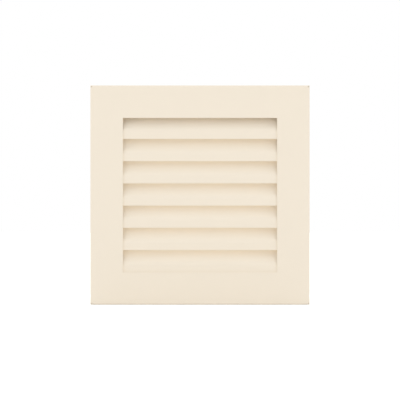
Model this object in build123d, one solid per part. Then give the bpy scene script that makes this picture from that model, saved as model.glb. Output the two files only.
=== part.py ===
from build123d import *

import os
from math import cos, radians, sin

# Square louvred vent grille for a fireplace, folded from powder-coated sheet steel.
#
# X points right as seen from the room, Y points into the wall and Z points up.
# The origin is the centre of the opening on the wall plane, where the frame's rims rest.
# All sizes are millimetres, and all angles are degrees.

# Front frame, one sheet cut and folded
OPENING_WIDTH = 154.6
OPENING_HEIGHT = 154.6
BORDER = 32.7  # flat face round the opening, out to the folded edge
STANDOFF = 7.0  # from the wall to the front of the face
FRAME_SHEET = 1.0
FRAME_BEND = 0.5  # inside radius of the folded edges
RIM_WIDTH = 6.0  # edges turned in along the wall, from the outside of the frame
RIM_SLIT = 0.3  # between the rims, along the mitre at each corner
CORNER_PLAY = 0.3  # notch in front at each outer corner, beyond the folds that meet there
CORNER_SLIT = 0.2  # between the side edges and the top and bottom edges

# Collar, a flanged strip folded into a square duct behind the face
COLLAR_ROOM = 10.0  # from the edge of the opening out to the collar's walls
COLLAR_DEPTH = 29.0  # from the back of the face
COLLAR_SHEET = 1.0
COLLAR_BEND = 1.5  # inside radius of the four corners
FLANGE_WIDTH = 11.0  # welded to the back of the face, from the outside of the walls
FLANGE_BEND = 0.5  # inside radius between flange and wall
FLANGE_RELIEF = 0.5  # notch at each corner, behind the flange fold

# Louvres, equal strips folded once along their length
LOUVRE_COUNT = 7
LOUVRE_SHEET = 0.8
LIP_HEIGHT = 6.0  # upright strip in front
LIP_GAP = 0.1  # between the back of the face and the lips
LOUVRE_BEND = 10.0  # front radius between lip and web
LOUVRE_LEAN = 34.0  # lean of the web, back from upright
LOUVRE_LAP = 3.0  # rise of a web behind the lip above it
LIP_COVER = 0.2  # of the lowest lip, behind the bottom of the face
TOP_COVER = 1.3  # of the first bay, behind the top of the face
END_GAP = 0.4  # between a louvre's ends and the collar

# Folded end tabs, by which each louvre is welded into the collar
TAB_LENGTH = 9.0
TAB_WIDTH = 7.0
TAB_BEND = 0.5  # inside radius
TAB_RELIEF = 0.6  # slit on each side of a tab

# Spring clips on the left and right outsides of the collar
CLIP_SHEET = 0.5
CLIP_WIDTH = 14.0
CLIP_FOOT = 9.0  # flat foot, riveted to the collar
CLIP_INSET = 1.0  # from the collar's rear edge to the foot
CLIP_LEAF = 11.5  # leaf that springs out and forward from the foot
CLIP_FLARE = 22.0
CLIP_TIP = 2.5  # end of the leaf, turned in
CLIP_TIP_TURN = 60.0
CLIP_BEND = 1.0  # inside radius
CLIP_CORNER = 1.5  # radius of the foot's two corners
CLIP_SPACING = 92.0  # between the upper and the lower clips

# Clip rivets
RIVET_DIAMETER = 3.0
RIVET_PLAY = 0.1  # in diameter, in the holes
RIVET_HEAD = 5.6
RIVET_HEAD_HEIGHT = 1.0
RIVET_HEAD_CHAMFER = 0.5

# Derived places and sizes
FACE_WIDTH = OPENING_WIDTH + 2 * BORDER
FACE_HEIGHT = OPENING_HEIGHT + 2 * BORDER
FACE_FRONT = -STANDOFF
FACE_BACK = FACE_FRONT + FRAME_SHEET
FRAME_ROUND = FRAME_BEND + FRAME_SHEET
CORNER_NOTCH = FRAME_ROUND + CORNER_PLAY
REAR_NOTCH = FRAME_SHEET + CORNER_SLIT

COLLAR_WIDTH = OPENING_WIDTH + 2 * COLLAR_ROOM
COLLAR_HEIGHT = OPENING_HEIGHT + 2 * COLLAR_ROOM
COLLAR_REAR = FACE_BACK + COLLAR_DEPTH
COLLAR_SIDE = COLLAR_WIDTH / 2
COLLAR_OUTSIDE = COLLAR_SIDE + COLLAR_SHEET
FLANGE_ROUND = FLANGE_BEND + COLLAR_SHEET

PITCH = (OPENING_HEIGHT + LIP_COVER + TOP_COVER) / LOUVRE_COUNT
LIP_FRONT = FACE_BACK + LIP_GAP
LOWEST_LIP = -OPENING_HEIGHT / 2 - LIP_COVER
WEB_BACK = sin(radians(LOUVRE_LEAN))
WEB_UP = cos(radians(LOUVRE_LEAN))
WEB_LENGTH = (PITCH + LOUVRE_LAP - LIP_HEIGHT - LOUVRE_BEND * WEB_BACK) / WEB_UP

RIVET_DEPTH = COLLAR_REAR - CLIP_INSET - CLIP_FOOT / 2
RIVET_HOLE = RIVET_DIAMETER + RIVET_PLAY


def folded_section(path, thickness, side):
    """Cross-section of a folded sheet whose one surface follows the path."""
    return make_face(offset(path, amount=thickness, side=side).edges())


def corner_cut():
    """What is cut away at the top right corner: notches in both folds, and the slits between the edges."""
    corner = (Align.MAX, Align.MIN, Align.MAX)
    notch = Box(CORNER_NOTCH, CORNER_NOTCH, CORNER_NOTCH, align=corner)
    slit = Pos(0, 0, -FRAME_SHEET) * Box(FRAME_SHEET, STANDOFF, CORNER_SLIT, align=corner)
    rear_notch = Box(REAR_NOTCH, FRAME_ROUND, REAR_NOTCH, align=corner)
    mitre = Box(2 * RIM_WIDTH, FRAME_ROUND, RIM_SLIT, align=(Align.MAX, Align.MIN, Align.CENTER))
    rear_cuts = Pos(0, STANDOFF - FRAME_ROUND, 0) * (rear_notch + Rot(0, -45, 0) * mitre)
    return Pos(FACE_WIDTH / 2, FACE_FRONT, FACE_HEIGHT / 2) * (notch + slit + rear_cuts)


def frame_block(inset, radius):
    """A block as large as the frame, less an inset all round, with rounded front and rear edges."""
    block = Box(FACE_WIDTH - 2 * inset, STANDOFF - 2 * inset, FACE_HEIGHT - 2 * inset)
    block = fillet(block.edges().filter_by(Axis.Y, reverse=True), radius)
    return Pos(0, -STANDOFF / 2, 0) * block


def front_frame():
    """The face with its opening, its edges folded back to the wall and their rims turned in."""
    tray = frame_block(0, FRAME_ROUND) - frame_block(FRAME_SHEET, FRAME_BEND)
    opening = Pos(0, FACE_FRONT, 0) * Box(OPENING_WIDTH, 4 * FRAME_SHEET, OPENING_HEIGHT)
    rear_opening = Box(FACE_WIDTH - 2 * RIM_WIDTH, 4 * FRAME_SHEET, FACE_HEIGHT - 2 * RIM_WIDTH)
    upper_cuts = corner_cut() + mirror(corner_cut(), about=Plane.YZ)
    return tray - opening - rear_opening - upper_cuts - mirror(upper_cuts, about=Plane.XY)


def collar_tube():
    """The collar's four walls and rounded corners, behind the flange folds."""
    outside = RectangleRounded(
        COLLAR_WIDTH + 2 * COLLAR_SHEET, COLLAR_HEIGHT + 2 * COLLAR_SHEET, COLLAR_BEND + COLLAR_SHEET
    )
    ring = Plane.XZ * (outside - RectangleRounded(COLLAR_WIDTH, COLLAR_HEIGHT, COLLAR_BEND))
    front = FACE_BACK + FLANGE_ROUND + FLANGE_RELIEF
    return Pos(0, front, 0) * extrude(ring, COLLAR_REAR - front, dir=(0, 1, 0))


def flanged_wall(distance, length):
    """A wall of the collar on the +X side with its flange, at a distance from the centre."""
    path = FilletPolyline(
        (distance + COLLAR_SHEET + FLANGE_WIDTH, FACE_BACK),
        (distance, FACE_BACK),
        (distance, COLLAR_REAR),
        radius=FLANGE_ROUND,
    )
    section = folded_section(path, COLLAR_SHEET, Side.RIGHT)
    return extrude(section, length / 2 - COLLAR_BEND, dir=(0, 0, 1), both=True)


def collar():
    """The whole collar, with the rivet holes in its left and right walls."""
    side = flanged_wall(COLLAR_SIDE, COLLAR_HEIGHT)
    top = Rot(0, -90, 0) * flanged_wall(COLLAR_HEIGHT / 2, COLLAR_WIDTH)
    holes = [
        Pos(0, RIVET_DEPTH, z) * Rot(0, 90, 0) * Cylinder(RIVET_HOLE / 2, 2 * COLLAR_WIDTH)
        for z in (-CLIP_SPACING / 2, CLIP_SPACING / 2)
    ]
    walls = collar_tube() + side + mirror(side, about=Plane.YZ) + top + mirror(top, about=Plane.XY)
    return walls - holes


def louvre_section():
    """Lip, bend and web of a louvre in the YZ plane, with the lip's front bottom edge at zero."""
    lip = Line((0, 0), (0, LIP_HEIGHT))
    bend = JernArc(lip @ 1, lip % 1, LOUVRE_BEND, -LOUVRE_LEAN)
    web = Line(bend @ 1, bend @ 1 + (bend % 1) * WEB_LENGTH)
    return Plane.YZ * folded_section(lip + bend + web, LOUVRE_SHEET, Side.RIGHT)


def tab_plane():
    """Plane across the web at the lower end of the tabs: X along the louvre, Y away under the web."""
    along_web = (WEB_LENGTH - TAB_LENGTH) / 2
    web_start = LOUVRE_BEND * (1 - WEB_UP)
    origin = (
        0,
        web_start + along_web * WEB_BACK,
        LIP_HEIGHT + LOUVRE_BEND * WEB_BACK + along_web * WEB_UP,
    )
    return Plane(origin, x_dir=(1, 0, 0), z_dir=(0, WEB_BACK, WEB_UP))


def right_tab():
    """The tab folded down from the right end of the web, flat on the collar."""
    fold = FilletPolyline(
        (COLLAR_SIDE - TAB_WIDTH, 0),
        (COLLAR_SIDE, 0),
        (COLLAR_SIDE, TAB_WIDTH),
        radius=TAB_BEND + LOUVRE_SHEET,
    )
    section = folded_section(fold, LOUVRE_SHEET, Side.LEFT)
    return extrude(tab_plane() * section, TAB_LENGTH)


def right_tab_slot():
    """The cut in the web that frees the right tab for folding."""
    slot_length = TAB_LENGTH + 2 * TAB_RELIEF
    slot_width = TAB_BEND + LOUVRE_SHEET
    cut = Box(2 * slot_width, 4 * LOUVRE_SHEET, slot_length)
    return tab_plane() * Pos(COLLAR_SIDE, 0, TAB_LENGTH / 2) * cut


def louvre():
    """One louvre, with the lip's front bottom edge on the X axis."""
    strip = extrude(louvre_section(), COLLAR_SIDE - END_GAP, both=True)
    slot = right_tab_slot()
    tab = right_tab()
    strip = strip - slot - mirror(slot, about=Plane.YZ)
    return strip + tab + mirror(tab, about=Plane.YZ)


def right_clip():
    """A spring clip on the right wall of the collar, level with the origin."""
    foot_rear = Vector(COLLAR_OUTSIDE, COLLAR_REAR - CLIP_INSET)
    foot_front = foot_rear + Vector(0, -CLIP_FOOT)
    flare = radians(CLIP_FLARE)
    leaf_end = foot_front + Vector(sin(flare), -cos(flare)) * CLIP_LEAF
    tip_turn = radians(CLIP_TIP_TURN - CLIP_FLARE)
    tip_end = leaf_end + Vector(-sin(tip_turn), -cos(tip_turn)) * CLIP_TIP
    path = FilletPolyline(foot_rear, foot_front, leaf_end, tip_end, radius=CLIP_BEND)
    section = folded_section(path, CLIP_SHEET, Side.LEFT)
    clip = extrude(section, CLIP_WIDTH / 2, dir=(0, 0, 1), both=True)
    clip = fillet(clip.edges().filter_by(Axis.X).group_by(Axis.Y)[-1], CLIP_CORNER)
    hole = Pos(COLLAR_OUTSIDE, RIVET_DEPTH, 0) * Rot(0, 90, 0) * Cylinder(RIVET_HOLE / 2, 4 * CLIP_SHEET)
    return clip - hole


def right_rivet():
    """A rivet through the collar's right wall and a clip's foot, level with the origin."""
    grip = COLLAR_SHEET + CLIP_SHEET
    shank = Cylinder(RIVET_DIAMETER / 2, grip)
    head = Pos(0, 0, (grip + RIVET_HEAD_HEIGHT) / 2) * Cylinder(RIVET_HEAD / 2, RIVET_HEAD_HEIGHT)
    head = chamfer(head.edges().sort_by(Axis.Z)[-1], RIVET_HEAD_CHAMFER)
    rivet = shank + head + mirror(head, about=Plane.XY)
    return Pos(COLLAR_SIDE + grip / 2, RIVET_DEPTH, 0) * Rot(0, 90, 0) * rivet


def build():
    """Every piece by its name."""
    pieces = {"front_frame": front_frame(), "collar": collar()}
    strip = louvre()
    for number in range(LOUVRE_COUNT):
        rise = (LOUVRE_COUNT - 1 - number) * PITCH
        pieces[f"louvre_{number + 1}"] = Pos(0, LIP_FRONT, LOWEST_LIP + rise) * strip

    clip = right_clip()
    rivet = right_rivet()
    rivets = []
    for level, z in (("upper", CLIP_SPACING / 2), ("lower", -CLIP_SPACING / 2)):
        placed_clip = Pos(0, 0, z) * clip
        placed_rivet = Pos(0, 0, z) * rivet
        pieces[f"clip_right_{level}"] = placed_clip
        pieces[f"clip_left_{level}"] = mirror(placed_clip, about=Plane.YZ)
        rivets += [placed_rivet, mirror(placed_rivet, about=Plane.YZ)]
    pieces["clip_rivets"] = Compound(children=rivets)
    return pieces


os.makedirs("parts", exist_ok=True)
for name, piece in build().items():
    export_step(piece, f"parts/{name}.step")
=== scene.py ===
from math import cos, pi, radians, sin, sqrt, tan

import bmesh
import bpy
from bpy.props import FloatProperty, FloatVectorProperty, IntProperty, PointerProperty
from bpy.types import Operator, Panel, PropertyGroup
from mathutils import Matrix, Vector


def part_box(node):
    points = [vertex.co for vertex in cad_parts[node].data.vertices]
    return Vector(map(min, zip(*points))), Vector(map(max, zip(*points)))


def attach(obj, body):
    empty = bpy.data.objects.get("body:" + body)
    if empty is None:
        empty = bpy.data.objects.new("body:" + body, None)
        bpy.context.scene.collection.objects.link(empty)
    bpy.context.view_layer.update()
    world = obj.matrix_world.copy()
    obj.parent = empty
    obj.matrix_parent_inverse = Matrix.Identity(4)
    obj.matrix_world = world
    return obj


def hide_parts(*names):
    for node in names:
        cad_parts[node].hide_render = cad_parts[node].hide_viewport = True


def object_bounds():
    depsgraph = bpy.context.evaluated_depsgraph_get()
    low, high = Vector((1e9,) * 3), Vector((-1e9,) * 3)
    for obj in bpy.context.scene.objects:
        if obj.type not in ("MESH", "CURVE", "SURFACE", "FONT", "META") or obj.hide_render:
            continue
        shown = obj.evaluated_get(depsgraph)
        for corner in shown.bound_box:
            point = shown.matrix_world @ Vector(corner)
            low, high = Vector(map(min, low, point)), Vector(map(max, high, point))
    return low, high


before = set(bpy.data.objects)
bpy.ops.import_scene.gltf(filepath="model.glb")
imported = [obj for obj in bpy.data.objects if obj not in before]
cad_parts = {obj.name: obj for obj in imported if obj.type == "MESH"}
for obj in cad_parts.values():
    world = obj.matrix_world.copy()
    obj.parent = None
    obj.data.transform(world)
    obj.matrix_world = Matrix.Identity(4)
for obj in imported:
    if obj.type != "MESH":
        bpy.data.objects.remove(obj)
CAD_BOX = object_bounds()

bl_info = {
    "name": "Fireplace Vent Grille",
    "version": (1, 0, 0),
    "blender": (4, 5, 0),
    "location": "View3D > Sidebar > Grille",
    "description": "Louvred grille of coated sheet steel, with its spring clips and a plain studio",
    "category": "Object",
}

# Places read from the frame, in metres
FACE_LOW, FACE_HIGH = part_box("front_frame")
COLLAR_LOW, COLLAR_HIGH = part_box("collar")
RIVETS_LOW, RIVETS_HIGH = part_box("clip_rivets")
COLLAR_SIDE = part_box("louvre_1")[1].x  # the louvres' tabs lie on the collar's inner sides
LOUVRES = sorted(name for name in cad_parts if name.startswith("louvre_"))
CLIPS = sorted(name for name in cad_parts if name.startswith("clip_") and name != "clip_rivets")

X = Vector((1, 0, 0))
Z = Vector((0, 0, 1))
FRONT = Vector((0, -1, 0))
BODY = "root"
TINY = 1e-6  # metres; points nearer than this are taken as one
EDGE_STEPS = 2  # facets in the softened cut edges
HEAD_STEPS = 4  # facets in the rounded rims of the rivets' heads
CUT_EDGE_ANGLE = radians(50)  # sharper edges of a sheet are cut edges
SENSOR_WIDTH = 36  # millimetres


class GrilleSizes(PropertyGroup):
    """Sheet gauges, folds and small sizes of the grille."""

    opening: FloatProperty(
        name="Opening", description="Width and height of the opening in the face",
        default=0.1546, precision=5, unit="LENGTH")
    frame_sheet: FloatProperty(
        name="Frame sheet", description="Gauge of the front frame",
        default=0.001, precision=5, unit="LENGTH")
    frame_bend: FloatProperty(
        name="Frame bend", description="Inside radius of the frame's folded edges",
        default=0.0005, precision=5, unit="LENGTH")
    rim_width: FloatProperty(
        name="Rim width", description="Edges turned in along the wall, from the outside of the frame",
        default=0.006, precision=5, unit="LENGTH")
    rim_slit: FloatProperty(
        name="Rim slit", description="Gap between the rims, along the mitre at each corner",
        default=0.0003, precision=5, unit="LENGTH")
    corner_play: FloatProperty(
        name="Corner play", description="Notch in front at each corner, beyond the folds that meet there",
        default=0.0003, precision=5, unit="LENGTH")
    corner_slit: FloatProperty(
        name="Corner slit", description="Gap between the side edges and the top and bottom edges",
        default=0.0002, precision=5, unit="LENGTH")
    collar_sheet: FloatProperty(
        name="Collar sheet", description="Gauge of the collar",
        default=0.001, precision=5, unit="LENGTH")
    collar_bend: FloatProperty(
        name="Collar corners", description="Inside radius of the collar's four corners",
        default=0.0015, precision=5, unit="LENGTH")
    flange_bend: FloatProperty(
        name="Flange bend", description="Inside radius between the collar's flanges and walls",
        default=0.0005, precision=5, unit="LENGTH")
    flange_relief: FloatProperty(
        name="Flange relief", description="Notch at each corner of the collar, behind the flange folds",
        default=0.0005, precision=5, unit="LENGTH")
    louvre_sheet: FloatProperty(
        name="Louvre sheet", description="Gauge of the louvres",
        default=0.0008, precision=5, unit="LENGTH")
    lip_height: FloatProperty(
        name="Lip height", description="Upright strip in front of each louvre",
        default=0.006, precision=5, unit="LENGTH")
    louvre_bend: FloatProperty(
        name="Louvre bend", description="Front radius between a louvre's lip and web",
        default=0.010, precision=5, unit="LENGTH")
    louvre_lean: FloatProperty(
        name="Louvre lean", description="Lean of the webs, back from upright",
        default=radians(34), subtype="ANGLE")
    end_gap: FloatProperty(
        name="End gap", description="Between a louvre's ends and the collar",
        default=0.0004, precision=5, unit="LENGTH")
    tab_length: FloatProperty(
        name="Tab length", description="Length of a louvre's end tabs along the web",
        default=0.009, precision=5, unit="LENGTH")
    tab_width: FloatProperty(
        name="Tab width", description="Width of a louvre's end tabs, down from the web",
        default=0.007, precision=5, unit="LENGTH")
    tab_bend: FloatProperty(
        name="Tab bend", description="Inside radius of the end tabs",
        default=0.0005, precision=5, unit="LENGTH")
    tab_relief: FloatProperty(
        name="Tab relief", description="Slit on each side of a tab",
        default=0.0006, precision=5, unit="LENGTH")
    clip_sheet: FloatProperty(
        name="Clip sheet", description="Gauge of the spring clips",
        default=0.0005, precision=5, unit="LENGTH")
    clip_foot: FloatProperty(
        name="Clip foot", description="Flat foot on the collar",
        default=0.009, precision=5, unit="LENGTH")
    clip_leaf: FloatProperty(
        name="Clip leaf", description="Leaf that springs out and forward from the foot",
        default=0.0115, precision=5, unit="LENGTH")
    clip_flare: FloatProperty(
        name="Clip flare", description="Angle between the leaf and the collar",
        default=radians(22), subtype="ANGLE")
    clip_tip: FloatProperty(
        name="Clip tip", description="End of the leaf, turned in",
        default=0.0025, precision=5, unit="LENGTH")
    clip_tip_turn: FloatProperty(
        name="Clip tip turn", description="Turn between the leaf and its tip",
        default=radians(60), subtype="ANGLE")
    clip_bend: FloatProperty(
        name="Clip bend", description="Inside radius of the clips' bends",
        default=0.001, precision=5, unit="LENGTH")
    clip_corner: FloatProperty(
        name="Clip corner", description="Radius of the foot's two corners",
        default=0.0015, precision=5, unit="LENGTH")
    rivet_shank: FloatProperty(
        name="Rivet shank", description="Radius of a rivet's shank",
        default=0.0015, precision=5, unit="LENGTH")
    rivet_head_height: FloatProperty(
        name="Rivet head", description="Height of a rivet's heads",
        default=0.001, precision=5, unit="LENGTH")
    rivet_head_round: FloatProperty(
        name="Rivet head edge", description="Rounding of a rivet head's rim",
        default=0.0005, precision=5, unit="LENGTH")
    soft_edge: FloatProperty(
        name="Soft edge", description="Radius that the coat leaves on the sheets' cut edges",
        default=0.00012, precision=5, unit="LENGTH")
    fold_steps: IntProperty(
        name="Fold steps", description="Facets in each fold of a sheet", default=10, min=2)


class GrilleFinish(PropertyGroup):
    """Colours and surface grain of the coat and the bare metals."""

    coat_colour: FloatVectorProperty(
        name="Coat", description="Cream powder coat",
        default=(0.89, 0.802, 0.67), size=3, subtype="COLOR", min=0, max=1)
    coat_roughness: FloatProperty(
        name="Coat roughness", description="Satin sheen of the coat",
        default=0.48, subtype="FACTOR", min=0, max=1)
    peel_size: FloatProperty(
        name="Coat grain", description="Size of the coat's fine waves",
        default=0.0009, precision=5, unit="LENGTH")
    peel_depth: FloatProperty(
        name="Coat wave depth", description="Depth of the coat's fine waves",
        default=0.00002, precision=6, unit="LENGTH")
    steel_colour: FloatVectorProperty(
        name="Spring steel", description="Bare spring steel of the clips",
        default=(0.46, 0.47, 0.49), size=3, subtype="COLOR", min=0, max=1)
    rivet_colour: FloatVectorProperty(
        name="Rivet metal", description="Bare aluminium of the rivets",
        default=(0.76, 0.77, 0.78), size=3, subtype="COLOR", min=0, max=1)


class GrilleStage(PropertyGroup):
    """Floor, studio light and camera."""

    floor_colour: FloatVectorProperty(
        name="Floor", description="Pale studio floor",
        default=(0.9, 0.9, 0.9), size=3, subtype="COLOR", min=0, max=1)
    floor_size: FloatProperty(
        name="Floor size", description="Width of the floor", default=8.0, unit="LENGTH")
    floor_lift: FloatProperty(
        name="Floor lift", description="Added to the floor for the camera, up to white",
        default=0.32, min=0)
    light_from: FloatVectorProperty(
        name="Light from", description="Direction that the studio light is strongest from",
        default=(-0.2, -0.98, -0.5), size=3, subtype="DIRECTION")
    light_edges: FloatVectorProperty(
        name="Light edges",
        description="Cosines to that direction, where the light is weakest and strongest",
        default=(0.55, 1.0), size=2)
    front_light: FloatProperty(
        name="Front light", description="Strength of the soft light in front", default=1.15, min=0)
    room_light: FloatProperty(
        name="Room light", description="Strength of the soft light from all round", default=1.05, min=0)
    lamp_place: FloatVectorProperty(
        name="Lamp place", description="Middle of the soft lamp, low behind the grille",
        default=(0, 0.2, -0.08), size=3, subtype="TRANSLATION")
    lamp_aim: FloatVectorProperty(
        name="Lamp aim", description="Place that the lamp looks at",
        default=(0, 0.02, 0), size=3, subtype="TRANSLATION")
    lamp_size: FloatVectorProperty(
        name="Lamp size", description="Width and height of the lamp",
        default=(0.4, 0.05), size=2, unit="LENGTH")
    lamp_power: FloatProperty(
        name="Lamp power", description="Light that the lamp gives", default=0.12, min=0, unit="POWER")
    camera_distance: FloatProperty(
        name="Camera distance", description="From the camera to the face", default=1.8, unit="LENGTH")
    camera_drop: FloatProperty(
        name="Camera drop", description="Camera below the middle of the grille",
        default=0.005, precision=5, unit="LENGTH")
    view_width: FloatProperty(
        name="View width", description="Width of the view at the face",
        default=0.4011, precision=5, unit="LENGTH")


def edges_at(bm, *planes):
    """Edges whose two ends lie in all the planes, each given by its normal and distance."""
    return [
        edge for edge in bm.edges
        if all(abs(vert.co.dot(normal) - at) < TINY for vert in edge.verts for normal, at in planes)
    ]


def run_on(bm, edges, shift):
    """Carry a sheet on from its edges in a straight line, and return the far edges."""
    made = bmesh.ops.extrude_edge_only(bm, edges=edges)["geom"]
    far = {item for item in made if isinstance(item, bmesh.types.BMVert)}
    bmesh.ops.translate(bm, vec=shift, verts=list(far))
    return [
        item for item in made
        if isinstance(item, bmesh.types.BMEdge) and far.issuperset(item.verts)
    ]


def fold(bm, edges, centre, axis, angle, steps):
    """Carry a sheet on from its edges round an axis, and return the far edges."""
    verts = list(dict.fromkeys(vert for edge in edges for vert in edge.verts))
    made = bmesh.ops.spin(
        bm, geom=verts + list(edges), cent=centre, axis=axis, angle=angle, steps=steps)
    return [item for item in made["geom_last"] if isinstance(item, bmesh.types.BMEdge)]


def flat_sheet(half_width, half_height, y):
    """A bmesh that holds one upright rectangle facing the front."""
    bm = bmesh.new()
    bmesh.ops.create_grid(bm, x_segments=1, y_segments=1, size=1.0)
    size = Matrix.Diagonal((half_width, half_height, 1, 1))
    place = Matrix.Translation((0, y, 0)) @ Matrix.Rotation(pi / 2, 4, "X") @ size
    bmesh.ops.transform(bm, matrix=place, verts=bm.verts[:])
    return bm


def turn_faces(bm, point, direction):
    """Make the faces of a sheet agree, with the one nearest a point looking in a direction."""
    bmesh.ops.recalc_face_normals(bm, faces=bm.faces[:])
    nearest = min(bm.faces, key=lambda face: (face.calc_center_median() - point).length)
    if nearest.normal.dot(direction) < 0:
        bmesh.ops.reverse_faces(bm, faces=bm.faces[:])


def new_piece(name, bm, material, node):
    """Object made of a bmesh, in place of a node of the frame."""
    mesh = bpy.data.meshes.new(name)
    bm.to_mesh(mesh)
    bm.free()
    mesh.shade_smooth()
    mesh.materials.append(material)
    piece = bpy.data.objects.new(name, mesh)
    bpy.context.scene.collection.objects.link(piece)
    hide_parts(node)
    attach(piece, BODY)
    return piece


def finish_sheet(piece, thickness, soft_edge):
    """Give a sheet its gauge behind its faces, and soften its cut edges."""
    gauge = piece.modifiers.new("Sheet gauge", "SOLIDIFY")
    gauge.thickness = thickness
    gauge.offset = -1
    gauge.use_even_offset = True
    soften = piece.modifiers.new("Soft edges", "BEVEL")
    soften.width = soft_edge
    soften.segments = EDGE_STEPS
    soften.profile = 0.5
    soften.limit_method = "ANGLE"
    soften.angle_limit = CUT_EDGE_ANGLE
    soften.use_clamp_overlap = False
    flats = piece.modifiers.new("True flats", "WEIGHTED_NORMAL")
    flats.mode = "FACE_AREA"


def frame_folds(sizes):
    """Outer radius of the frame's folds, and the notches at its corners in front and at the wall."""
    bend = sizes.frame_bend + sizes.frame_sheet
    return bend, bend + sizes.corner_play, sizes.frame_sheet + sizes.corner_slit


def cut_face(bm, sizes):
    """Cut the opening and the four corner notches out of the frame's flat face."""
    _, notch, _ = frame_folds(sizes)
    half_width, half_height = FACE_HIGH.x, FACE_HIGH.z
    opening = sizes.opening / 2
    for normal, half in ((X, half_width), (Z, half_height)):
        for distance in (notch - half, -opening, opening, half - notch):
            everything = bm.verts[:] + bm.edges[:] + bm.faces[:]
            bmesh.ops.bisect_plane(bm, geom=everything, plane_co=normal * distance, plane_no=normal)
    cut_out = []
    for face in bm.faces:
        across, up = (abs(face.calc_center_median()[axis]) for axis in (0, 2))
        in_opening = across < opening and up < opening
        in_corner = across > half_width - notch and up > half_height - notch
        if in_opening or in_corner:
            cut_out.append(face)
    bmesh.ops.delete(bm, geom=cut_out, context="FACES")


def fold_side(bm, sizes, out, along, half, other, closes_corner):
    """Fold one side of the face back towards the wall, and widen it behind the corner notches."""
    bend, notch, rear_notch = frame_folds(sizes)
    front, wall = FACE_LOW.y, FACE_HIGH.y
    centre = out * (half - bend) - FRONT * (front + bend)
    rim = edges_at(bm, (out, half - bend), (FRONT, -front))
    rim = fold(bm, rim, centre, FRONT.cross(out), pi / 2, sizes.fold_steps)
    rim = run_on(bm, rim, -FRONT * sizes.corner_play)
    run_on(bm, rim, -FRONT * (wall - front - notch - bend))
    for end in (-along, along):
        ends = [
            edge for edge in edges_at(bm, (out, half), (end, other - notch))
            if min(vert.co.y for vert in edge.verts) > front + bend + TINY
        ]
        ends = run_on(bm, ends, end * (notch - rear_notch))
        if closes_corner:
            run_on(bm, ends, end * rear_notch)


def turn_rim(bm, sizes, out, along, half, other):
    """Turn one side's rim in along the wall, and mitre both its ends."""
    bend, _, rear_notch = frame_folds(sizes)
    wall = FACE_HIGH.y
    centre = out * (half - bend) - FRONT * (wall - bend)
    rim = [
        edge for edge in edges_at(bm, (out, half), (FRONT, bend - wall))
        if all(abs(vert.co.dot(along)) < other - rear_notch + TINY for vert in edge.verts)
    ]
    kept = set(bm.faces)
    rim = fold(bm, rim, centre, FRONT.cross(out), pi / 2, sizes.fold_steps)
    run_on(bm, rim, out * (bend - sizes.rim_width))
    for end in (-along, along):
        faces = [face for face in bm.faces if face not in kept]
        edges = dict.fromkeys(edge for face in faces for edge in face.edges)
        verts = dict.fromkeys(vert for face in faces for vert in face.verts)
        corner = out * half + end * (other - sizes.rim_slit / sqrt(2))
        bmesh.ops.bisect_plane(
            bm, geom=[*verts, *edges, *faces], plane_co=corner, plane_no=end - out, clear_outer=True)


def frame_sheet(sizes):
    """The outer surface of the front frame: the face, its opening, its folded sides and their rims."""
    half_width, half_height = FACE_HIGH.x, FACE_HIGH.z
    bend, _, _ = frame_folds(sizes)
    bm = flat_sheet(half_width - bend, half_height - bend, FACE_LOW.y)
    cut_face(bm, sizes)
    for out in (-X, X):
        fold_side(bm, sizes, out, Z, half_width, half_height, closes_corner=False)
        turn_rim(bm, sizes, out, Z, half_width, half_height)
    for out in (-Z, Z):
        fold_side(bm, sizes, out, X, half_height, half_width, closes_corner=True)
        turn_rim(bm, sizes, out, X, half_height, half_width)
    turn_faces(bm, Vector((0, FACE_LOW.y, half_height - bend)), FRONT)
    return bm


def collar_sheet(sizes):
    """The inner surface of the collar: four walls, rounded corners and four flanges turned out."""
    reach = COLLAR_HIGH.x - COLLAR_SIDE
    collar_top = COLLAR_HIGH.z - reach
    bend = sizes.flange_bend + sizes.collar_sheet
    fold_line = COLLAR_LOW.y + bend
    wall_start = fold_line + sizes.flange_relief
    bm = flat_sheet(COLLAR_SIDE, collar_top, wall_start)
    bmesh.ops.bevel(
        bm, geom=bm.verts[:], offset=sizes.collar_bend, segments=sizes.fold_steps,
        profile=0.5, affect="VERTICES", material=-1)
    bmesh.ops.delete(bm, geom=bm.faces[:], context="FACES_ONLY")
    run_on(bm, bm.edges[:], -FRONT * (COLLAR_HIGH.y - wall_start))

    for out, half in ((X, COLLAR_SIDE), (-X, COLLAR_SIDE), (Z, collar_top), (-Z, collar_top)):
        rim = edges_at(bm, (out, half), (FRONT, -wall_start))
        rim = run_on(bm, rim, FRONT * sizes.flange_relief)
        centre = out * (half + bend) - FRONT * fold_line
        rim = fold(bm, rim, centre, FRONT.cross(out), pi / 2, sizes.fold_steps)
        run_on(bm, rim, out * (reach - bend))

    turn_faces(bm, Vector((COLLAR_SIDE, COLLAR_HIGH.y, 0)), -X)
    return bm


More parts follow.
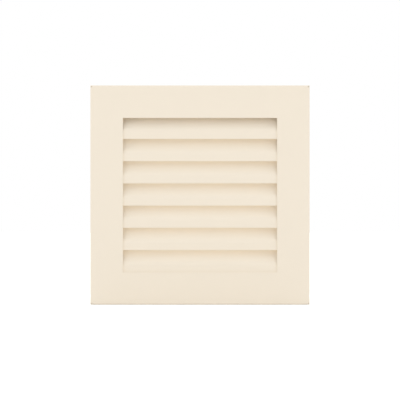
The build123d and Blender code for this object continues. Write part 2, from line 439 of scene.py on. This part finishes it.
def louvre_sheet(sizes, low, high):
    """The front surface of a louvre: lip, bend and web, with a tab folded down at each end."""
    lean = Vector((0, sin(sizes.louvre_lean), cos(sizes.louvre_lean)))
    under = Vector((0, lean.z, -lean.y))
    bend_top = sizes.lip_height + sizes.louvre_bend * lean.y
    web = (high.z - low.z - bend_top) / lean.z
    margin = (web - sizes.tab_length) / 2 - sizes.tab_relief
    tab_fold = sizes.tab_bend + sizes.louvre_sheet
    body_end = COLLAR_SIDE - tab_fold
    bm = bmesh.new()
    start = [bm.verts.new((end * body_end, low.y, low.z)) for end in (-1, 1)]
    rim = run_on(bm, [bm.edges.new(start)], Z * sizes.lip_height)
    centre = Vector((0, low.y + sizes.louvre_bend, low.z + sizes.lip_height))
    rim = fold(bm, rim, centre, -X, sizes.louvre_lean, sizes.fold_steps)
    for length in (margin, sizes.tab_relief, sizes.tab_length, sizes.tab_relief, margin):
        rim = run_on(bm, rim, lean * length)

    slit_low = low.z + bend_top + margin * lean.z
    slit_high = slit_low + (sizes.tab_length + 2 * sizes.tab_relief) * lean.z
    slit = sizes.tab_relief * lean.z
    for end in (-1, 1):
        plain, tab = [], []
        for edge in edges_at(bm, (X * end, body_end)):
            height = sum(vert.co.z for vert in edge.verts) / 2
            if slit_low + slit < height < slit_high - slit:
                tab.append(edge)
            elif not slit_low < height < slit_high:
                plain.append(edge)
        run_on(bm, plain, X * end * (tab_fold - sizes.end_gap))
        centre = tab[0].verts[0].co + under * tab_fold
        tab = fold(bm, tab, centre, (-under).cross(X * end), pi / 2, sizes.fold_steps)
        run_on(bm, tab, under * (sizes.tab_width - tab_fold))

    turn_faces(bm, Vector((0, low.y, low.z)), FRONT)
    return bm


def clip_sheet(sizes, low, high, out):
    """The inner surface of a spring clip: foot on the collar, leaf flared out, tip turned in."""
    bend = sizes.clip_bend
    flare, turn = sizes.clip_flare, sizes.clip_tip_turn
    flare_tangent = bend * tan(flare / 2)
    turn_tangent = bend * tan(turn / 2)
    wall = out * (COLLAR_SIDE + sizes.collar_sheet)
    foot_axis = FRONT.cross(out)
    bm = bmesh.new()
    start = [bm.verts.new(wall + Vector((0, high.y, z))) for z in (low.z, high.z)]
    foot = sizes.clip_foot - flare_tangent
    rim = run_on(bm, [bm.edges.new(start)], FRONT * foot)
    centre = wall + out * bend - FRONT * (high.y - foot)
    rim = fold(bm, rim, centre, foot_axis, flare, sizes.fold_steps)
    leaf = FRONT * cos(flare) + out * sin(flare)
    rim = run_on(bm, rim, leaf * (sizes.clip_leaf - flare_tangent - turn_tangent))
    inward = FRONT * sin(flare) - out * cos(flare)
    centre = rim[0].verts[0].co + inward * bend
    rim = fold(bm, rim, centre, -foot_axis, turn, sizes.fold_steps)
    tip = FRONT * cos(flare - turn) + out * sin(flare - turn)
    run_on(bm, rim, tip * (sizes.clip_tip - turn_tangent))
    bmesh.ops.bevel(
        bm, geom=start, offset=sizes.clip_corner, segments=sizes.fold_steps,
        profile=0.5, affect="VERTICES", material=-1)
    turn_faces(bm, wall + Vector((0, high.y, low.z)), -out)
    return bm


def add_rivet(bm, sizes, inner, outer, centre, radius, out):
    """Add a rivet along X to a bmesh, spun from its profile, with rounded heads."""
    made = bmesh.new()
    lower = inner + sizes.rivet_head_height
    upper = outer - sizes.rivet_head_height
    shank = sizes.rivet_shank
    profile = (
        (inner, 0), (inner, radius), (lower, radius), (lower, shank),
        (upper, shank), (upper, radius), (outer, radius), (outer, 0),
    )
    verts = [made.verts.new((x, 0, r)) for x, r in profile]
    edges = [made.edges.new(pair) for pair in zip(verts, verts[1:])]
    bmesh.ops.spin(
        made, geom=verts + edges, cent=(0, 0, 0), axis=X, angle=2 * pi,
        steps=4 * sizes.fold_steps, use_merge=True)
    bmesh.ops.remove_doubles(made, verts=made.verts[:], dist=TINY)
    rims = [
        edge for x in (inner, outer) for edge in edges_at(made, (X, x))
        if all(abs(vert.co.yz.length - radius) < TINY for vert in edge.verts)
    ]
    bmesh.ops.bevel(
        made, geom=rims, offset=sizes.rivet_head_round, segments=HEAD_STEPS,
        profile=0.5, affect="EDGES", material=-1)
    bmesh.ops.recalc_face_normals(made, faces=made.faces[:])
    if out.x < 0:
        bmesh.ops.scale(made, vec=(-1, 1, 1), verts=made.verts[:])
        bmesh.ops.reverse_faces(made, faces=made.faces[:])
    bmesh.ops.translate(made, vec=centre, verts=made.verts[:])
    joined = bpy.data.meshes.new("rivet")
    made.to_mesh(joined)
    made.free()
    bm.from_mesh(joined)
    bpy.data.meshes.remove(joined)


def new_node(tree, kind, **settings):
    """Node of a kind, with its settings."""
    node = tree.nodes.new(kind)
    for name, value in settings.items():
        setattr(node, name, value)
    return node


def surface_group():
    """Node group that varies a finish: broad tone patches, and fine grain in sheen and height."""
    name = "Surface variation"
    if name in bpy.data.node_groups:
        return bpy.data.node_groups[name]
    group = bpy.data.node_groups.new(name, "ShaderNodeTree")
    sockets = (
        ("Vector", "INPUT", "NodeSocketVector"), ("Color", "INPUT", "NodeSocketColor"),
        ("Tone swing", "INPUT", "NodeSocketFloat"), ("Patch scale", "INPUT", "NodeSocketFloat"),
        ("Roughness", "INPUT", "NodeSocketFloat"), ("Sheen swing", "INPUT", "NodeSocketFloat"),
        ("Grain scale", "INPUT", "NodeSocketFloat"),
        ("Color", "OUTPUT", "NodeSocketColor"), ("Roughness", "OUTPUT", "NodeSocketFloat"),
        ("Height", "OUTPUT", "NodeSocketFloat"),
    )
    for socket, in_out, kind in sockets:
        group.interface.new_socket(socket, in_out=in_out, socket_type=kind)
    link = group.links.new
    given = new_node(group, "NodeGroupInput").outputs
    result = new_node(group, "NodeGroupOutput").inputs

    patches = new_node(group, "ShaderNodeTexNoise")
    patches.inputs["Detail"].default_value = 3
    link(given["Vector"], patches.inputs["Vector"])
    link(given["Patch scale"], patches.inputs["Scale"])
    grain = new_node(group, "ShaderNodeTexNoise")
    grain.inputs["Detail"].default_value = 2
    link(given["Vector"], grain.inputs["Vector"])
    link(given["Grain scale"], grain.inputs["Scale"])

    off_middle = new_node(group, "ShaderNodeMath", operation="SUBTRACT")
    off_middle.inputs[1].default_value = 0.5
    link(patches.outputs["Fac"], off_middle.inputs[0])
    tone = new_node(group, "ShaderNodeMath", operation="MULTIPLY_ADD")
    tone.inputs[2].default_value = 1
    link(off_middle.outputs[0], tone.inputs[0])
    link(given["Tone swing"], tone.inputs[1])
    tinted = new_node(group, "ShaderNodeVectorMath", operation="SCALE")
    link(given["Color"], tinted.inputs[0])
    link(tone.outputs[0], tinted.inputs["Scale"])

    grain_middle = new_node(group, "ShaderNodeMath", operation="SUBTRACT")
    grain_middle.inputs[1].default_value = 0.5
    link(grain.outputs["Fac"], grain_middle.inputs[0])
    sheen = new_node(group, "ShaderNodeMath", operation="MULTIPLY_ADD")
    link(grain_middle.outputs[0], sheen.inputs[0])
    link(given["Sheen swing"], sheen.inputs[1])
    link(given["Roughness"], sheen.inputs[2])

    link(tinted.outputs[0], result["Color"])
    link(sheen.outputs[0], result["Roughness"])
    link(grain.outputs["Fac"], result["Height"])
    return group


def finish_material(
        name, colour, roughness, tone_swing, patch_scale, sheen_swing, grain_scale, depth,
        stretch=(1, 1, 1)):
    """Material with the surface variation in its colour, sheen and bump, and its shader."""
    if name in bpy.data.materials:
        material = bpy.data.materials[name]
        return material, material.node_tree.nodes["Principled BSDF"]
    material = bpy.data.materials.new(name)
    material.use_nodes = True
    tree = material.node_tree
    shader = tree.nodes["Principled BSDF"]
    place = new_node(tree, "ShaderNodeTexCoord")
    mapping = new_node(tree, "ShaderNodeMapping")
    mapping.inputs["Scale"].default_value = stretch
    surface = new_node(tree, "ShaderNodeGroup", node_tree=surface_group())
    surface.inputs["Color"].default_value = (*colour, 1)
    surface.inputs["Roughness"].default_value = roughness
    surface.inputs["Tone swing"].default_value = tone_swing
    surface.inputs["Patch scale"].default_value = patch_scale
    surface.inputs["Sheen swing"].default_value = sheen_swing
    surface.inputs["Grain scale"].default_value = grain_scale
    bump = new_node(tree, "ShaderNodeBump")
    bump.inputs["Distance"].default_value = depth
    tree.links.new(place.outputs["Object"], mapping.inputs["Vector"])
    tree.links.new(mapping.outputs["Vector"], surface.inputs["Vector"])
    tree.links.new(surface.outputs["Color"], shader.inputs["Base Color"])
    tree.links.new(surface.outputs["Roughness"], shader.inputs["Roughness"])
    tree.links.new(surface.outputs["Height"], bump.inputs["Height"])
    tree.links.new(bump.outputs["Normal"], shader.inputs["Normal"])
    return material, shader


def cream_coat(finish):
    """Satin cream powder coat, with the fine waves that such a coat dries to."""
    material, shader = finish_material(
        "cream_powder_coat", finish.coat_colour, finish.coat_roughness, tone_swing=0.02, patch_scale=30,
        sheen_swing=0.12, grain_scale=1 / finish.peel_size, depth=finish.peel_depth)
    shader.inputs["Specular IOR Level"].default_value = 0.3
    return material


def spring_steel(finish):
    """Bare rolled spring steel, with grain along the strip."""
    material, shader = finish_material(
        "bare_spring_steel", finish.steel_colour, roughness=0.34, tone_swing=0.7, patch_scale=900,
        sheen_swing=0.3, grain_scale=5000, depth=0.00001, stretch=(0.06, 0.06, 1))
    shader.inputs["Metallic"].default_value = 1
    return material


def rivet_metal(finish):
    """Bare aluminium, lightly marked by the rivet set."""
    material, shader = finish_material(
        "bare_rivet_metal", finish.rivet_colour, roughness=0.38, tone_swing=0.35, patch_scale=700,
        sheen_swing=0.3, grain_scale=2200, depth=0.00003)
    shader.inputs["Metallic"].default_value = 1
    return material


def background_rays(tree):
    """Output that is 1 on rays that show the plain background: camera, glossy and transmission."""
    path = new_node(tree, "ShaderNodeLightPath")
    total = path.outputs["Is Camera Ray"]
    for kind in ("Is Glossy Ray", "Is Transmission Ray"):
        add = new_node(tree, "ShaderNodeMath", operation="MAXIMUM")
        tree.links.new(total, add.inputs[0])
        tree.links.new(path.outputs[kind], add.inputs[1])
        total = add.outputs[0]
    return total


def floor_material(stage):
    """Pale floor that shows white and keeps the object's shadow."""
    material = bpy.data.materials.new("studio_floor")
    material.use_nodes = True
    tree = material.node_tree
    tree.nodes.remove(tree.nodes["Principled BSDF"])
    matt = new_node(tree, "ShaderNodeBsdfDiffuse")
    matt.inputs["Color"].default_value = (*stage.floor_colour, 1)
    lift = new_node(tree, "ShaderNodeMath", operation="MULTIPLY")
    lift.inputs[1].default_value = stage.floor_lift
    tree.links.new(background_rays(tree), lift.inputs[0])
    glow = new_node(tree, "ShaderNodeEmission")
    tree.links.new(lift.outputs[0], glow.inputs["Strength"])
    both = new_node(tree, "ShaderNodeAddShader")
    tree.links.new(matt.outputs[0], both.inputs[0])
    tree.links.new(glow.outputs[0], both.inputs[1])
    tree.links.new(both.outputs[0], tree.nodes["Material Output"].inputs["Surface"])
    return material


def add_floor(stage):
    """The floor that the grille's lower edge stands on."""
    bm = bmesh.new()
    bmesh.ops.create_grid(bm, x_segments=1, y_segments=1, size=stage.floor_size / 2)
    bmesh.ops.translate(bm, vec=(0, 0, CAD_BOX[0][2]), verts=bm.verts[:])
    mesh = bpy.data.meshes.new("studio_floor")
    bm.to_mesh(mesh)
    bm.free()
    mesh.materials.append(floor_material(stage))
    floor = bpy.data.objects.new("studio_floor", mesh)
    bpy.context.scene.collection.objects.link(floor)


def add_studio_light(stage):
    """World with an even soft light, a little stronger in front, and plain white to the camera."""
    world = bpy.data.worlds.new("studio")
    bpy.context.scene.world = world
    world.use_nodes = True
    tree = world.node_tree
    room = tree.nodes["Background"]
    direction = new_node(tree, "ShaderNodeTexCoord")
    facing = new_node(tree, "ShaderNodeVectorMath", operation="DOT_PRODUCT")
    facing.inputs[1].default_value = Vector(stage.light_from).normalized()
    fade = new_node(tree, "ShaderNodeMapRange", interpolation_type="SMOOTHSTEP")
    fade.inputs["From Min"].default_value = stage.light_edges[0]
    fade.inputs["From Max"].default_value = stage.light_edges[1]
    fade.inputs["To Min"].default_value = stage.room_light
    fade.inputs["To Max"].default_value = stage.front_light
    white = new_node(tree, "ShaderNodeBackground")
    white.inputs["Color"].default_value = (1, 1, 1, 1)
    room.inputs["Color"].default_value = (1, 1, 1, 1)
    shown = new_node(tree, "ShaderNodeMixShader")
    tree.links.new(direction.outputs["Generated"], facing.inputs[0])
    tree.links.new(facing.outputs["Value"], fade.inputs["Value"])
    tree.links.new(fade.outputs["Result"], room.inputs["Strength"])
    tree.links.new(background_rays(tree), shown.inputs["Fac"])
    tree.links.new(room.outputs[0], shown.inputs[1])
    tree.links.new(white.outputs[0], shown.inputs[2])
    tree.links.new(shown.outputs[0], tree.nodes["World Output"].inputs["Surface"])


def add_lamp(stage):
    """Soft lamp low behind the grille, which the camera doesn't see."""
    data = bpy.data.lights.new("rear_lamp", "AREA")
    data.shape = "RECTANGLE"
    data.size, data.size_y = stage.lamp_size
    data.energy = stage.lamp_power
    lamp = bpy.data.objects.new("rear_lamp", data)
    place = Vector(stage.lamp_place)
    lamp.location = place
    lamp.rotation_euler = (Vector(stage.lamp_aim) - place).to_track_quat("-Z", "Y").to_euler()
    lamp.visible_camera = False
    bpy.context.scene.collection.objects.link(lamp)


def add_camera(stage):
    """Level camera straight in front of the grille."""
    data = bpy.data.cameras.new("camera")
    data.sensor_width = SENSOR_WIDTH
    data.lens = SENSOR_WIDTH * stage.camera_distance / stage.view_width
    camera = bpy.data.objects.new("camera", data)
    camera.location = (0, FACE_LOW.y - stage.camera_distance, -stage.camera_drop)
    camera.rotation_euler = (pi / 2, 0, 0)
    bpy.context.scene.collection.objects.link(camera)
    bpy.context.scene.camera = camera


class GRILLE_OT_front_frame(Operator):
    """Make the coated front frame"""

    bl_idname = "grille.front_frame"
    bl_label = "Front Frame"

    def execute(self, context):
        sizes = context.scene.grille_sizes
        coat = cream_coat(context.scene.grille_finish)
        piece = new_piece("frame_sheet", frame_sheet(sizes), coat, "front_frame")
        finish_sheet(piece, sizes.frame_sheet, sizes.soft_edge)
        return {"FINISHED"}


class GRILLE_OT_collar(Operator):
    """Make the flanged collar behind the face"""

    bl_idname = "grille.collar"
    bl_label = "Collar"

    def execute(self, context):
        sizes = context.scene.grille_sizes
        coat = cream_coat(context.scene.grille_finish)
        piece = new_piece("collar_sheet", collar_sheet(sizes), coat, "collar")
        finish_sheet(piece, sizes.collar_sheet, sizes.soft_edge)
        return {"FINISHED"}


class GRILLE_OT_louvres(Operator):
    """Make the folded louvres"""

    bl_idname = "grille.louvres"
    bl_label = "Louvres"

    def execute(self, context):
        sizes = context.scene.grille_sizes
        coat = cream_coat(context.scene.grille_finish)
        for node in LOUVRES:
            sheet = louvre_sheet(sizes, *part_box(node))
            piece = new_piece(f"{node}_sheet", sheet, coat, node)
            finish_sheet(piece, sizes.louvre_sheet, sizes.soft_edge)
        return {"FINISHED"}


class GRILLE_OT_clips(Operator):
    """Make the spring clips on the collar"""

    bl_idname = "grille.clips"
    bl_label = "Spring Clips"

    def execute(self, context):
        sizes = context.scene.grille_sizes
        steel = spring_steel(context.scene.grille_finish)
        for node in CLIPS:
            low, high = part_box(node)
            out = X if low.x > 0 else -X
            sheet = clip_sheet(sizes, low, high, out)
            piece = new_piece(f"{node}_spring", sheet, steel, node)
            finish_sheet(piece, sizes.clip_sheet, sizes.soft_edge)
        return {"FINISHED"}


class GRILLE_OT_rivets(Operator):
    """Make the rivets that hold the clips"""

    bl_idname = "grille.rivets"
    bl_label = "Clip Rivets"

    def execute(self, context):
        sizes = context.scene.grille_sizes
        radius = (RIVETS_HIGH.y - RIVETS_LOW.y) / 2
        depth = (RIVETS_HIGH.y + RIVETS_LOW.y) / 2
        inner = COLLAR_SIDE - sizes.rivet_head_height
        bm = bmesh.new()
        for out in (X, -X):
            for z in (RIVETS_LOW.z + radius, RIVETS_HIGH.z - radius):
                add_rivet(bm, sizes, inner, RIVETS_HIGH.x, Vector((0, depth, z)), radius, out)
        metal = rivet_metal(context.scene.grille_finish)
        new_piece("rivet_set", bm, metal, "clip_rivets")
        return {"FINISHED"}


class GRILLE_OT_stage(Operator):
    """Make the floor, the soft studio light and the camera"""

    bl_idname = "grille.stage"
    bl_label = "Studio Stage"

    def execute(self, context):
        stage = context.scene.grille_stage
        add_floor(stage)
        add_studio_light(stage)
        add_lamp(stage)
        add_camera(stage)
        context.scene.view_settings.view_transform = "Standard"
        return {"FINISHED"}


class GRILLE_PT_sidebar(Panel):
    """Steps that make the grille, in order"""

    bl_idname = "GRILLE_PT_sidebar"
    bl_label = "Fireplace Vent Grille"
    bl_space_type = "VIEW_3D"
    bl_region_type = "UI"
    bl_category = "Grille"

    def draw(self, context):
        for step in STEPS:
            self.layout.operator(step.bl_idname)


STEPS = (
    GRILLE_OT_front_frame,
    GRILLE_OT_collar,
    GRILLE_OT_louvres,
    GRILLE_OT_clips,
    GRILLE_OT_rivets,
    GRILLE_OT_stage,
)
GROUPS = {
    "grille_sizes": GrilleSizes,
    "grille_finish": GrilleFinish,
    "grille_stage": GrilleStage,
}


def register():
    """Make the steps, the panel and the values known."""
    for cls in (*GROUPS.values(), *STEPS, GRILLE_PT_sidebar):
        bpy.utils.register_class(cls)
    for name, group in GROUPS.items():
        setattr(bpy.types.Scene, name, PointerProperty(type=group))


def unregister():
    """Take the steps, the panel and the values away."""
    for name in GROUPS:
        delattr(bpy.types.Scene, name)
    for cls in (GRILLE_PT_sidebar, *reversed(STEPS), *reversed(GROUPS.values())):
        bpy.utils.unregister_class(cls)


def main():
    """Make the grille and its stage."""
    register()
    bpy.ops.grille.front_frame()
    bpy.ops.grille.collar()
    bpy.ops.grille.louvres()
    bpy.ops.grille.clips()
    bpy.ops.grille.rivets()
    bpy.ops.grille.stage()


if __name__ == "__main__":
    main()
